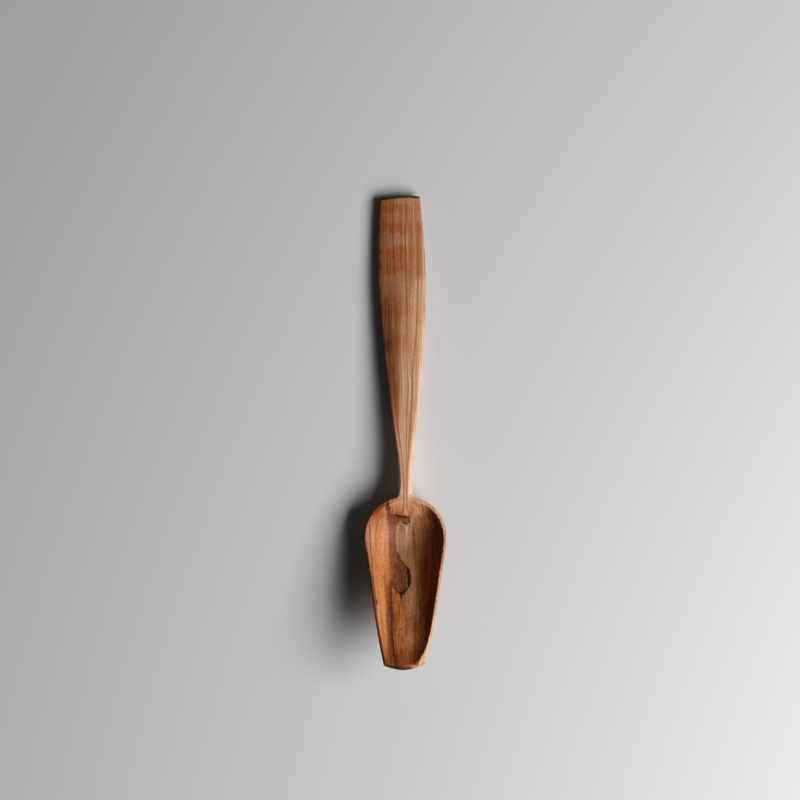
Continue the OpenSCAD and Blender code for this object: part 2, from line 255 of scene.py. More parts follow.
# How far noise moves places, in mm, and places across the handle, in parts of its half width
GRAIN_WAVER, LINE_WAVER, BAND_WAVER = 2.2, 1.5, 11.0
RAGGED_ACROSS, RAGGED_ALONG = 1.1, 1.5
HANDLE_WAVER = 0.25

# How much of the stain's mottle is blotches
BLOTCH_SWING = 1.2

# Noise turned into a share or a width: (low noise, high noise, result at low, result at high)
CURL_BREAKS = (0.3, 0.7, 0.55, 1.2)
THREAD_BREAKS = (0.35, 0.65, 0.25, 0.6)
STAIN_MOTTLE = (0.36, 0.62, 0.50, 1.0)
LINE_WIDTHS = (0.35, 0.65, 1.7, 0.75)
ROUGHNESS = (0.5, 1.0, 0.52, 0.40)

# Noise between which a mark comes in, as (not yet, in full)
THREAD_NOISE, FLECK_NOISE, PORE_NOISE = (0.52, 0.62), (0.66, 0.92), (0.66, 0.76)

# How much the neck's side that faces the light is paler as a painted highlight, the bowl's upper left wall
# darker as painted shade, and the curly bands darker
PAINTED_BEVEL_HIGHLIGHT, PAINTED_SHOULDER_SHADE, DARKER_BANDS = 0.055, 0.11, 0.055

# How strong the painted sheen and reflection are, the warmth and what takes it away, and the red painted
# shade on the neck's left
PAINTED_SHEEN_SHARE, BOWL_PAINTED_REFLECTION, NECK_PAINTED_SHEEN = 0.30, 0.8, 0.12
WARM_BANDS, WARM_BOWL, COOL_REFLECTION, COOL_SHOULDERS, COOL_RIM = 0.9, 0.85, 0.5, 0.6, 0.8
NECK_SHADE_RED = 0.55

# How strong the curly figure is on the handle's right, the stain halfway up, the dark spots, the painted
# shade at the bowl's outer edge and on the handle's end face, and the pores
CURL_ON_RIGHT, THIN_STAIN = 0.3, 0.80
SPOT_STRENGTH, EDGE_SHADE_STRENGTH, END_SHADE_STRENGTH, PORE_STRENGTH = 0.75, 0.9, 0.9, 0.3

# Softness of the stain's edge and the hook's, in mm
ZONE_SOFT, HOOK_SOFT = 1.2, 0.5

# Half width and fade of the painted shade along the bowl's edge on its left and at its tip, in mm
LEFT_SHADE_STROKE, TIP_SHADE_STROKE = (1.5, 8.0), (2.0, 3.0)

# How far the soft band beside the low streak lies to its left, in mm
BESIDE_STREAK = 0.9

# The oiled surface: bump strength and height in metres, and how it reflects
BUMP_STRENGTH, BUMP_HEIGHT = 0.35, 0.00012
REFRACTION, SPECULAR_LEVEL = 1.48, 0.2

# Where a look comes in, as (not yet, in full), in mm from the tip
MIDDLE_FROM = (12.0, 30.0)
WIDEST_FROM = (38.0, 52.0)
SHOULDER_SHADE_FROM = (60.0, 67.0)
HANDLE_FROM = (66.0, 76.0)
TIP_RIM_FROM = (2.6, 1.6)
TIP_TONE_FROM = (3.2, 1.6)
RIM_LEFT_FROM = ((3.0, 12.0), (18.0, 46.0), (60.0, 68.0))
RIM_RIGHT_FROM = (8.0, 30.0)
CURL_FROM = (100.0, 118.0)
BOWL_REFLECTION_BETWEEN = ((38.0, 50.0), (66.0, 58.0))
NECK_SHEEN_BETWEEN = ((66.0, 78.0), (112.0, 96.0))
THIN_STAIN_BETWEEN = ((44.0, 50.0), (62.0, 57.0))
COOLER_FROM = (44.0, 56.0)
SHADE_RED_RIM_FROM = (4.0, 10.0)
SHADE_RED_NECK_FROM = (125.0, 100.0)
BEVEL_HIGHLIGHT_FROM = (124.0, 108.0)
THREADS_FROM = (100.0, 120.0)
END_SHADE_FROM = (195.5, 198.0)

# The same across the spoon, in mm to the right of its middle
LEFT_HALF = (2.0, -4.0)
CALM_WALL = (-4.0, -7.0)
SHOULDER_SHADE_SIDE = (-4.5, -9.5)
RIM_SIDES = (-2.0, 3.0)
TIP_SIDES = (-4.0, 5.0)
WEAK_CURL = (-3.0, 6.0)
REFLECTION_REACH = (6.0, 1.0)
REFLECTION_MIDDLE = -0.5

# The same in parts of the handle's half width to its right, and in the direction that the surface faces
HANDLE_LEFT, HANDLE_RIGHT, NECK_LEFT = (0.0, -0.85), (0.0, 0.75), (0.0, -0.8)
FACES_UP, FACES_UP_FULLY = (-0.1, 0.25), (0.4, 0.8)
FACES_RIGHT, FACES_END, FACES_OUT = (0.25, 0.5), (0.12, 0.45), (0.02, 0.16)

# The bowl's shoulders are round about a place this far from the tip, stretched along the spoon
SHOULDER_CENTRE, SHOULDER_STRETCH = 55.0, 1.2

# Colours of the marks in the wood
ORANGE = (0.23, 0.072, 0.020)
RED = (0.062, 0.010, 0.003)
BROWN = (0.115, 0.028, 0.010)
THREAD = (0.30, 0.105, 0.034)
STAIN_FLECK = (0.20, 0.050, 0.020)
SPOT = (0.088, 0.022, 0.008)
# Painted shade at the bowl's outer edge and on the handle's end face
EDGE_SHADE_COLOR = (0.030, 0.009, 0.004)
END_FACE_SHADE = (0.045, 0.015, 0.007)

# What a colour is multiplied with where the wood is warmer, red with painted shade, or paled by painted
# sheen
WARMER = (1.06, 0.85, 0.55)
SHADE_RED_TINT = (1.30, 0.86, 0.92)
PAINTED_SHEEN_TINT = (1.42, 0.95, 0.72)

# Tones at which the wood has the colours of its settings, from the deepest to the palest
TONES = (0.1, 0.25, 0.39, 0.52, 0.66, 0.8)

# Knife cuts on top of the spoon, times the width, length and depth of those on its back, and their turn in
# radians
TOP_CUTS = (1.3, 2.0, 0.35)
TOP_CUT_TURN = 0.05

# Value of a knife cut's pattern at which the surface stays where it is: lower values press it in
CUT_LEVEL = 0.75

# Turn of the surface between vertices, in degrees: from the first on it is an edge and is left as it is, and
# up to the second it is levelled in full
EDGE_TURN, LEVEL_TURN = 10.0, 4.0

# Passes that even out where the levelling and the knife cuts begin
EDGE_PASSES, CUT_PASSES = 4, 6

# The back begins where the surface faces up by less than this, and is in full this much further
BACK_BEGINS, BACK_FADE = 0.15, 0.5

# Distance in metres within which vertices of the CAD mesh are one
SAME_PLACE = 1e-6

# The floor lies this far under the spoon, in metres, and is this rough
FLOOR_GAP, FLOOR_ROUGHNESS = 0.00005, 0.75

# What the camera sees, in metres from itself
CLIP_NEAR, CLIP_FAR = 0.01, 20.0


class CarvingSettings(bpy.types.PropertyGroup):
    """Sizes of the carved surface."""

    cell: bpy.props.FloatProperty(
        name="Cell", description="Grid spacing of the refined surface",
        default=0.00038, unit="LENGTH", precision=5,
    )
    soften: bpy.props.IntProperty(
        name="Soften", description="Passes that round the knife-cut edges", default=3, min=0,
    )
    level: bpy.props.IntProperty(
        name="Level", description="Passes that level the surfaces between the edges", default=60, min=0,
    )
    cut_width: bpy.props.FloatProperty(
        name="Cut width", description="Width of one knife cut on the back",
        default=0.0045, unit="LENGTH", precision=4,
    )
    cut_length: bpy.props.FloatProperty(
        name="Cut length", description="Length of one knife cut on the back",
        default=0.017, unit="LENGTH", precision=4,
    )
    cut_depth: bpy.props.FloatProperty(
        name="Cut depth", description="Depth of one knife cut on the back",
        default=0.00022, unit="LENGTH", precision=5,
    )


class WoodSettings(bpy.types.PropertyGroup):
    """Colours of the wood."""

    deepest: bpy.props.FloatVectorProperty(
        name="Deepest", description="Wood at the lowest tone",
        subtype="COLOR", size=3, min=0, max=1, default=(0.022, 0.006, 0.002),
    )
    deep: bpy.props.FloatVectorProperty(
        name="Deep", description="Wood at the second tone",
        subtype="COLOR", size=3, min=0, max=1, default=(0.134, 0.036, 0.010),
    )
    brown: bpy.props.FloatVectorProperty(
        name="Brown", description="Wood at the third tone",
        subtype="COLOR", size=3, min=0, max=1, default=(0.30, 0.103, 0.034),
    )
    tan: bpy.props.FloatVectorProperty(
        name="Tan", description="Wood at the fourth tone",
        subtype="COLOR", size=3, min=0, max=1, default=(0.467, 0.208, 0.092),
    )
    pale: bpy.props.FloatVectorProperty(
        name="Pale", description="Wood at the fifth tone",
        subtype="COLOR", size=3, min=0, max=1, default=(0.66, 0.378, 0.215),
    )
    palest: bpy.props.FloatVectorProperty(
        name="Palest", description="Wood at the highest tone",
        subtype="COLOR", size=3, min=0, max=1, default=(0.84, 0.57, 0.39),
    )
    stain: bpy.props.FloatVectorProperty(
        name="Stain", description="Colour of the spalted patch",
        subtype="COLOR", size=3, min=0, max=1, default=(0.078, 0.017, 0.007),
    )
    line: bpy.props.FloatVectorProperty(
        name="Line", description="Colour of the zone lines",
        subtype="COLOR", size=3, min=0, max=1, default=(0.022, 0.010, 0.007),
    )


class StageSettings(bpy.types.PropertyGroup):
    """Floor, light and camera."""

    floor_color: bpy.props.FloatVectorProperty(
        name="Floor", description="Colour of the floor",
        subtype="COLOR", size=3, min=0, max=1, default=(0.62, 0.615, 0.625),
    )
    floor_size: bpy.props.FloatProperty(
        name="Floor size", description="Length of each side of the floor", default=6.0, unit="LENGTH",
    )
    key_power: bpy.props.FloatProperty(
        name="Key light", description="Power of the soft main light", default=15.6, subtype="POWER",
    )
    key_height: bpy.props.FloatProperty(
        name="Key elevation", description="Angle of the light above the floor",
        default=math.radians(39), subtype="ANGLE",
    )
    key_turn: bpy.props.FloatProperty(
        name="Key direction", description="Direction of the light, turned from +X",
        default=math.radians(-24), subtype="ANGLE",
    )
    key_distance: bpy.props.FloatProperty(
        name="Key distance", description="Distance of the light from the spoon", default=1.0, unit="LENGTH",
    )
    key_width: bpy.props.FloatProperty(
        name="Key width", description="Width of the light", default=1.0, unit="LENGTH",
    )
    key_depth: bpy.props.FloatProperty(
        name="Key depth", description="Size of the light the other way", default=0.46, unit="LENGTH",
    )
    fill: bpy.props.FloatProperty(
        name="Fill", description="Strength of the light from all round", default=0.03, subtype="FACTOR",
    )
    fill_color: bpy.props.FloatVectorProperty(
        name="Fill colour", description="Colour of the light from all round",
        subtype="COLOR", size=3, min=0, max=1, default=(0.95, 0.98, 1.0),
    )
    frame_width: bpy.props.FloatProperty(
        name="Frame width", description="Width of what the camera sees at the spoon",
        default=0.3378, unit="LENGTH", precision=4,
    )
    frame_middle: bpy.props.FloatVectorProperty(
        name="Frame middle", description="Place on the spoon that the camera looks straight down on",
        size=3, default=(-0.00228, 0.0136, 0.008), subtype="TRANSLATION", precision=5,
    )
    camera_height: bpy.props.FloatProperty(
        name="Camera height", description="Height of the camera above the spoon", default=4.0, unit="LENGTH",
    )


def deselect():
    bpy.ops.object.select_all(action="DESELECT")


def activate(piece):
    deselect()
    piece.select_set(True)
    bpy.context.view_layer.objects.active = piece


def modify(piece, kind, name, **values):
    """Adds a modifier with the given values and applies it."""
    activate(piece)
    modifier = piece.modifiers.new(name, kind)
    for key, value in values.items():
        setattr(modifier, key, value)
    bpy.ops.object.modifier_apply(modifier=modifier.name)


def color(value):
    """A colour with its alpha, or the socket as it is."""
    return value if isinstance(value, bpy.types.NodeSocket) else (*value, 1.0)


class Pattern:
    """Short calls for the nodes of one material. Values are numbers, colours or sockets."""

    def __init__(self, name):
        self.material = bpy.data.materials.new(name)
        self.material.use_nodes = True
        self.tree = self.material.node_tree
        self.tree.nodes.clear()

    def node(self, kind, inputs=(), **values):
        new = self.tree.nodes.new("ShaderNode" + kind)
        for key, value in values.items():
            setattr(new, key, value)
        for key, value in dict(inputs).items():
            if isinstance(value, bpy.types.NodeSocket):
                self.tree.links.new(value, new.inputs[key])
            else:
                new.inputs[key].default_value = value
        return new

    def math(self, operation, a, b=0.0):
        return self.node("Math", {0: a, 1: b}, operation=operation).outputs[0]

    def add(self, a, b):
        return self.math("ADD", a, b)

    def sub(self, a, b):
        return self.math("SUBTRACT", a, b)

    def mul(self, first, *others):
        for other in others:
            first = self.math("MULTIPLY", first, other)
        return first

    def most(self, a, b):
        return self.math("MAXIMUM", a, b)

    def rest(self, share):
        """What is left of 1."""
        return self.sub(1.0, share)

    def off(self, a, b):
        """Distance between two numbers."""
        return self.math("ABSOLUTE", self.sub(a, b))

    def parts(self, vector):
        return self.node("SeparateXYZ", {0: vector}).outputs

    def vector(self, x, y, z):
        return self.node("CombineXYZ", {0: x, 1: y, 2: z}).outputs[0]

    def smooth(self, value, none, full):
        """0 where value is at none, 1 where it is at full, and a smooth step between."""
        inputs = {"Value": value, "From Min": none, "From Max": full}
        return self.node("MapRange", inputs, interpolation_type="SMOOTHSTEP").outputs[0]

    def linear(self, value, low, high, to_low=0.0, to_high=1.0):
        inputs = {"Value": value, "From Min": low, "From Max": high, "To Min": to_low, "To Max": to_high}
        return self.node("MapRange", inputs).outputs[0]

    def noise(self, place, detail, roughness, output):
        """Noise from 0 to 1 whose features are about one unit of place."""
        inputs = {"Vector": place, "Scale": 1.0, "Detail": detail, "Roughness": roughness}
        return self.node("TexNoise", inputs).outputs[output]

    def swing(self, noise, reach):
        """Noise from 0 to 1 turned into a swing to both sides of 0."""
        return self.mul(self.sub(noise, 0.5), reach)

    def blend(self, share, a, b):
        """Number a where share is 0, b where it is 1."""
        return self.add(a, self.mul(share, self.sub(b, a)))

    def ramp(self, value, stops):
        """Colour at value, from (value, colour) stops."""
        new = self.node("ValToRGB", {0: value})
        line = new.color_ramp.elements
        line[0].position, line[1].position = stops[0][0], stops[-1][0]
        line[0].color, line[1].color = color(stops[0][1]), color(stops[-1][1])
        for at, tint in stops[1:-1]:
            line.new(at).color = color(tint)
        return new.outputs[0]

    def mix(self, share, a, b, blend="MIX"):
        inputs = {0: share, 6: color(a), 7: color(b)}
        return self.node("Mix", inputs, data_type="RGBA", blend_type=blend).outputs[2]

    def curve(self, value, points):
        """Smooth curve through (value, result) points."""
        low, high = points[0][0], points[-1][0]
        least, most = min(p[1] for p in points), max(p[1] for p in points)
        new = self.node("FloatCurve", {0: 1.0, 1: self.linear(value, low, high)})
        line = new.mapping.curves[0].points
        places = [((a - low) / (high - low), (b - least) / (most - least)) for a, b in points]
        line[0].location = places[0]
        line[1].location = places[-1]
        for place in places[1:-1]:
            line.new(*place)
        new.mapping.update()
        return self.linear(new.outputs[0], 0.0, 1.0, least, most)

    def window(self, value, starts, ends):
        """1 between two places, with a smooth step at each."""
        return self.mul(self.smooth(value, *starts), self.smooth(value, *ends))

    def stroke(self, along, across, points, width, fade, uneven=1.0):
        """A line drawn through points, width to each side, that fades out at both ends."""
        off = self.mul(self.off(across, self.curve(along, points)), uneven)
        line = self.smooth(off, width, width * LINE_CORE)
        first, last, half = points[0][0], points[-1][0], fade / 2
        return self.mul(line, self.window(along, (first - half, first + half), (last + half, last - half)))

    def between(self, along, across, low, high, soft):
        """1 between two curves, with soft edges."""
        above = self.smooth(self.sub(across, self.curve(along, low)), -soft, soft)
        below = self.smooth(self.sub(across, self.curve(along, high)), soft, -soft)
        first, last = max(low[0][0], high[0][0]), min(low[-1][0], high[-1][0])
        ends = self.window(along, (first - soft, first + soft), (last + soft, last - soft))
        return self.mul(ends, above, below)


class SpaltedWood(Pattern):
    """Straight-grained brown wood with curly figure, a spalted patch and an oiled, knife-cut finish."""

    def __init__(self, wood):
        super().__init__("spalted_wood")
        self.wood = wood
        coords = self.node("TexCoord")
        self.x, y, self.z = (self.mul(part, 1 / MM) for part in self.parts(coords.outputs["Object"]))
        self.s = self.add(y, HALF_LENGTH_MM)
        self.normal = coords.outputs["Normal"]
        self.facing = self.parts(self.normal)
        self.up = self.smooth(self.facing[2], *FACES_UP)
        self.on_handle = self.smooth(self.s, *HANDLE_FROM)
        self.in_left = self.smooth(self.x, *LEFT_HALF)
        self.rim = self.find_rim()

        # The grain is a straight bundle of fibres that draws together at the neck
        beside = self.sub(self.x, self.curve(self.s, GRAIN_MIDDLE))
        straight = self.mul(beside, self.curve(self.s, GRAIN_CLOSING))
        self.waver = self.sub(self.field(straight, *WAVER), 0.5)
        self.grain = self.add(straight, self.mul(self.waver, GRAIN_WAVER))
        self.fibres = self.field(self.grain, *FIBRES)
        self.hairs = self.field(self.grain, *HAIRS)
        self.pores = self.field(self.grain, *PORES)
        self.clouds = self.field(straight, *CLOUDS)
        self.specks = self.field(self.x, *SPECKS)

        # Place across the handle: -1 at its left edge, 1 at its right
        beside = self.sub(self.x, self.curve(self.s, HANDLE_MIDDLE))
        across = self.math("DIVIDE", beside, self.curve(self.s, HANDLE_HALF))
        self.across = self.add(across, self.mul(self.waver, HANDLE_WAVER))

        # Curly figure: deep bands across the handle and pale patches with painted sheen, painted reflection
        # in the bowl's middle and painted sheen on the neck
        curl = self.find_curl()
        self.deep = self.most(curl, 0.0)
        reach = self.smooth(self.off(self.x, REFLECTION_MIDDLE), *REFLECTION_REACH)
        self.painted_bowl_reflection = self.mul(reach, self.window(self.s, *BOWL_REFLECTION_BETWEEN))
        painted_sheen = self.most(self.most(self.mul(curl, -1.0), 0.0), self.mul(self.painted_bowl_reflection, BOWL_PAINTED_REFLECTION))
        self.painted_sheen = self.most(painted_sheen, self.mul(self.window(self.s, *NECK_SHEEN_BETWEEN), NECK_PAINTED_SHEEN))

        # The patch and its lines are drawn a little raggedly
        shift = self.parts(self.field(self.x, *RAGGED, output="Color"))
        self.ragged_x = self.add(self.x, self.swing(shift[0], RAGGED_ACROSS))
        self.ragged_s = self.add(self.s, self.swing(shift[1], RAGGED_ALONG))

    def field(self, across, scales, detail, roughness=0.5, shift=0.0, output=0):
        """Noise over a place across the spoon, the distance from its tip and the height."""
        depth = self.add(self.mul(self.z, scales[2]), shift)
        place = self.vector(self.mul(across, scales[0]), self.mul(self.s, scales[1]), depth)
        return self.noise(place, detail, roughness, output)

    def find_rim(self):
        """The rim is known by its slope away from the hollow."""
        beyond = self.most(self.mul(self.sub(self.s, SHOULDER_CENTRE), SHOULDER_STRETCH), 0.0)
        away = self.node("VectorMath", {0: self.vector(self.x, beyond, 0.0)}, operation="NORMALIZE")
        slope = self.node("VectorMath", {0: self.normal, 1: away.outputs["Vector"]}, operation="DOT_PRODUCT")
        outward = self.smooth(slope.outputs["Value"], *FACES_OUT)
        rim = self.most(outward, self.smooth(self.s, *TIP_RIM_FROM))
        return self.mul(rim, self.smooth(self.facing[2], *FACES_UP_FULLY))

    def find_curl(self):
        """Bands across the handle, weaker on its right and broken up by clouds."""
        waver = self.swing(self.field(self.x, *BANDS), BAND_WAVER)
        bands = self.curve(self.add(self.s, waver), CURL)
        weaker = self.blend(self.smooth(self.x, *WEAK_CURL), 1.0, CURL_ON_RIGHT)
        broken = self.linear(self.clouds, *CURL_BREAKS)
        return self.mul(bands, self.smooth(self.s, *CURL_FROM), weaker, broken)

    def handle_tone(self):
        """The handle is darker on its left, and where the neck faces the light to its right it gets a
        painted highlight.
        """
        left, middle, right = (self.curve(self.s, points) for points in (LEFT_TONE, MIDDLE_TONE, RIGHT_TONE))
        tone = self.blend(self.smooth(self.across, *HANDLE_LEFT), middle, left)
        tone = self.blend(self.smooth(self.across, *HANDLE_RIGHT), tone, right)
        # Painted highlight where the neck faces the light to its right
        lit_bevel = self.mul(self.smooth(self.facing[0], *FACES_RIGHT), self.smooth(self.s, *BEVEL_HIGHLIGHT_FROM))
        return self.add(tone, self.mul(lit_bevel, PAINTED_BEVEL_HIGHLIGHT))

    def bowl_tone(self):
        """The bowl is darker on its right and at its tip, and has painted shade on the wall below its upper
        left rim.
        """
        tip, middle, wide = (self.curve(self.grain, points) for points in (TIP_TONE, BOWL_TONE, WIDE_TONE))
        tone = self.blend(self.smooth(self.s, *MIDDLE_FROM), tip, middle)
        tone = self.blend(self.smooth(self.s, *WIDEST_FROM), tone, wide)
        tone = self.add(tone, self.curve(self.s, BOWL_ALONG))
        # Painted shade on the bowl's upper left wall below the rim
        shoulder_shade = self.mul(self.smooth(self.s, *SHOULDER_SHADE_FROM), self.smooth(self.x, *SHOULDER_SHADE_SIDE))
        tone = self.sub(tone, self.mul(shoulder_shade, PAINTED_SHOULDER_SHADE))
        return self.blend(self.rim, tone, self.rim_tone())

    def rim_tone(self):
        """Tone of the rim on both sides and round the tip, with painted shade on its upper left near the
        neck.
        """
        left = RIM_LEFT_TONES[0]
        for starts, tone in zip(RIM_LEFT_FROM, RIM_LEFT_TONES[1:]):
            left = self.blend(self.smooth(self.s, *starts), left, tone)
        right = self.blend(self.smooth(self.s, *RIM_RIGHT_FROM), *RIM_RIGHT_TONES)
        sides = self.blend(self.smooth(self.x, *RIM_SIDES), left, right)
        tip = self.blend(self.smooth(self.x, *TIP_SIDES), *RIM_TIP_TONES)
        return self.blend(self.smooth(self.s, *TIP_TONE_FROM), sides, tip)

    def tone(self):
        """Tone of the wood before any mark is drawn on it, 0 black to 1 white."""
        calm = self.mul(self.rest(self.on_handle), self.smooth(self.x, *CALM_WALL))
        lively = self.sub(self.blend(self.on_handle, LIVELIER_BOWL, 1.0), self.mul(calm, CALMER_WALL))
        speckly = self.blend(self.on_handle, SPECKLIER_BOWL, 1.0)
        swings = (
            self.swing(self.field(self.grain, *BROAD), BROAD_SWING),
            self.mul(self.swing(self.field(self.grain, *STREAKS), STREAK_SWING), lively),
            self.mul(self.swing(self.fibres, FIBRE_SWING), lively),
            self.swing(self.hairs, HAIR_SWING),
            self.swing(self.clouds, CLOUD_SWING),
            self.mul(self.swing(self.specks, SPECK_SWING), speckly),
            self.mul(self.deep, -DARKER_BANDS),
        )
        tone = self.blend(self.on_handle, self.bowl_tone(), self.handle_tone())
        for swing in swings:
            tone = self.add(tone, swing)
        return tone

    def tinted(self, tone):
        """Colour of the wood at a tone: paled by painted sheen and reflection, warmer in places, red with
        painted shade on its left rim and neck, with threads on the handle.
        """
        wood = self.wood
        colors = (wood.deepest, wood.deep, wood.brown, wood.tan, wood.pale, wood.palest)
        base = self.ramp(tone, list(zip(TONES, colors)))
        # A pale veil of painted sheen and painted reflection
        painted_sheen_color = self.vector(*(self.mul(tone, tone, part) for part in PAINTED_SHEEN_TINT))
        base = self.mix(self.mul(self.painted_sheen, PAINTED_SHEEN_SHARE), base, painted_sheen_color)

        warmer = self.mix(1.0, base, WARMER, "MULTIPLY")
        right_rim = self.mul(self.rim, self.rest(self.in_left), COOL_RIM)
        shoulders = self.mul(self.smooth(self.s, *COOLER_FROM), COOL_SHOULDERS)
        warmth = self.sub(WARM_BOWL, self.add(self.mul(self.painted_bowl_reflection, COOL_REFLECTION), shoulders))
        in_bowl = self.mul(self.rest(self.on_handle), self.rest(right_rim), warmth)
        base = self.mix(self.most(self.mul(self.deep, WARM_BANDS), in_bowl), base, warmer)

        # A redder colour painted as shade on the left rim and the neck's left edge
        shade_red = self.mix(1.0, base, SHADE_RED_TINT, "MULTIPLY")
        shaded_left_rim = self.mul(self.rim, self.in_left, self.rest(self.on_handle))
        shaded_left_rim = self.mul(shaded_left_rim, self.smooth(self.s, *SHADE_RED_RIM_FROM))
        shaded_left_neck = self.mul(self.smooth(self.across, *NECK_LEFT), self.on_handle, NECK_SHADE_RED)
        shaded_left_neck = self.mul(shaded_left_neck, self.smooth(self.s, *SHADE_RED_NECK_FROM))
        base = self.mix(self.most(shaded_left_rim, shaded_left_neck), base, shade_red)

        threads = self.smooth(self.field(self.grain, *THREADS), *THREAD_NOISE)
        broken = self.linear(self.specks, *THREAD_BREAKS)
        threads = self.mul(threads, broken, self.on_handle, self.smooth(self.s, *THREADS_FROM))
        return self.mix(threads, base, THREAD)

    def stained(self, base):
        """The spalted patch and the hook at its top, mottled, and thinner halfway up."""
        zone = self.between(self.ragged_s, self.ragged_x, ZONE_LEFT, ZONE_RIGHT, ZONE_SOFT)
        hook = self.between(self.ragged_x, self.ragged_s, HOOK_BELOW, HOOK_TOP, HOOK_SOFT)
        thin = self.blend(self.window(self.s, *THIN_STAIN_BETWEEN), 1.0, THIN_STAIN)
        blotches = self.swing(self.field(self.x, *BLOTCHES), BLOTCH_SWING)
        mottle = self.linear(self.add(self.specks, blotches), *STAIN_MOTTLE)
        flecks = self.smooth(self.add(self.specks, self.mul(self.fibres, 0.6)), *FLECK_NOISE)
        ink = self.mix(flecks, self.wood.stain, STAIN_FLECK)
        return self.mix(self.mul(self.most(zone, hook), self.up, thin, mottle), base, ink)

    def lined(self, base):
        """Zone lines, streaks and spots."""
        wavering = self.add(self.x, self.mul(self.waver, LINE_WAVER))
        courses = {
            "lengthwise": (self.ragged_s, self.ragged_x),
            "crosswise": (self.ragged_x, self.ragged_s),
            "with the grain": (self.s, wavering),
            "left of the grain": (self.s, self.add(wavering, BESIDE_STREAK)),
            "exact": (self.s, self.x),
        }
        wood = self.wood
        inks = {"pale": wood.pale, "orange": ORANGE, "red": RED, "brown": BROWN, "dark": wood.line}
        uneven = self.linear(self.field(self.x, *UNEVEN), *LINE_WIDTHS)
        for ink, course, points, width, fade, varies, strength in LINES:
            line = self.stroke(*courses[course], points, width, fade, uneven if varies else 1.0)
            base = self.mix(self.mul(line, strength, self.up), base, inks[ink])
        for at, right, long, wide in SPOTS:
            along = self.mul(self.sub(self.ragged_s, at), 1 / long)
            across = self.mul(self.sub(self.ragged_x, right), 1 / wide)
            off = self.node("VectorMath", {0: self.vector(across, along, 0.0)}, operation="LENGTH")
            spot = self.smooth(off.outputs["Value"], *SPOT_REACH)
            base = self.mix(self.mul(spot, SPOT_STRENGTH, self.up), base, SPOT)
        return base

    def darkened(self, base):
        """Painted shade along the bowl's outer edge on its left and round its tip and on the handle's end
        face, and the pores.
        """
        # Painted shade along the bowl's left edge and under its tip
        left = self.stroke(self.s, self.x, LEFT_EDGE_SHADE, *LEFT_SHADE_STROKE)
        tip = self.stroke(self.x, self.s, TIP_EDGE_SHADE, *TIP_SHADE_STROKE)
        base = self.mix(self.mul(self.most(left, tip), EDGE_SHADE_STRENGTH), base, EDGE_SHADE_COLOR)
        # Painted shade on the handle's end face
        end = self.mul(self.smooth(self.facing[1], *FACES_END), self.smooth(self.s, *END_SHADE_FROM))
        base = self.mix(self.mul(end, END_SHADE_STRENGTH), base, END_FACE_SHADE)
        pores = self.smooth(self.pores, *PORE_NOISE)
        return self.mix(self.mul(pores, PORE_STRENGTH), base, self.wood.deep)

    def finish(self, base):
        """Oiled satin surface with raised fibres and open pores."""
        roughness = self.linear(self.add(self.fibres, self.mul(self.specks, 0.5)), *ROUGHNESS)
        height = self.add(self.mul(self.hairs, 0.5), self.add(self.fibres, self.mul(self.pores, -0.5)))
        bump = self.node("Bump", {"Strength": BUMP_STRENGTH, "Distance": BUMP_HEIGHT, "Height": height})
        inputs = {"Base Color": base, "Roughness": roughness, "Normal": bump.outputs[0]}
        shader = self.node("BsdfPrincipled", inputs)
        shader.inputs["IOR"].default_value = REFRACTION
        shader.inputs["Specular IOR Level"].default_value = SPECULAR_LEVEL
        self.node("OutputMaterial", {0: shader.outputs[0]})


def wood_material(wood):
    """The wood with all its layers."""
    pattern = SpaltedWood(wood)
    base = pattern.tinted(pattern.tone())
    for layer in (pattern.stained, pattern.lined, pattern.darkened):
        base = layer(base)
    pattern.finish(base)
    return pattern.material


def sharp_edges(mesh, reach=3):
    """For each vertex, the most that the surface turns within reach edges, with edge ends and normals."""
    count = len(mesh.vertices)
    normals = np.empty(count * 3, np.float32)
    mesh.vertices.foreach_get("normal", normals)
    normals = normals.reshape(-1, 3)
    edges = np.empty(len(mesh.edges) * 2, np.int32)
    mesh.edges.foreach_get("vertices", edges)
    a, b = edges.reshape(-1, 2).T
    turn = np.degrees(np.arccos(np.clip((normals[a] * normals[b]).sum(1), -1, 1)))
    most = np.zeros(count, np.float32)
    for _ in range(reach):
        np.maximum.at(most, a, turn)
        np.maximum.at(most, b, turn)
        turn = np.maximum(most[a], most[b])
    return most, a, b, normals


def spread_out(values, a, b, passes):
    """Evens values out between neighbouring vertices."""
    for _ in range(passes):
        total, number = values.copy(), np.ones(len(values), np.float32)
        np.add.at(total, a, values[b])
        np.add.at(total, b, values[a])
        np.add.at(number, a, 1)
        np.add.at(number, b, 1)
        values = total / number
    return values


def weigh(piece, name, weights, steps=40):
    """Vertex group whose weights are rounded to a few steps."""
    group = piece.vertex_groups.new(name=name)
    rounded = np.round(np.clip(weights, 0, 1) * steps).astype(int)
    for step in np.unique(rounded):
        if step:
            group.add(np.nonzero(rounded == step)[0].tolist(), step / steps, "REPLACE")


def knife_cuts(piece, name, width, length, depth, group, turn=0.0):
    """Presses shallow long cuts into the surface, where the vertex group allows."""
    texture = bpy.data.textures.new(name, "VORONOI")
    texture.distance_metric = "DISTANCE_SQUARED"
    texture.noise_scale = 1.0
    bpy.ops.object.empty_add(location=(0, 0, 0), rotation=(0, 0, turn))
    guide = bpy.context.active_object
    guide.scale = (width, length, width)
    bpy.context.view_layer.update()
    modify(
        piece, "DISPLACE", name, texture=texture, texture_coords="OBJECT", texture_coords_object=guide,
        strength=depth, mid_level=CUT_LEVEL, vertex_group=group,
    )
    bpy.data.objects.remove(guide)
    bpy.data.textures.remove(texture)


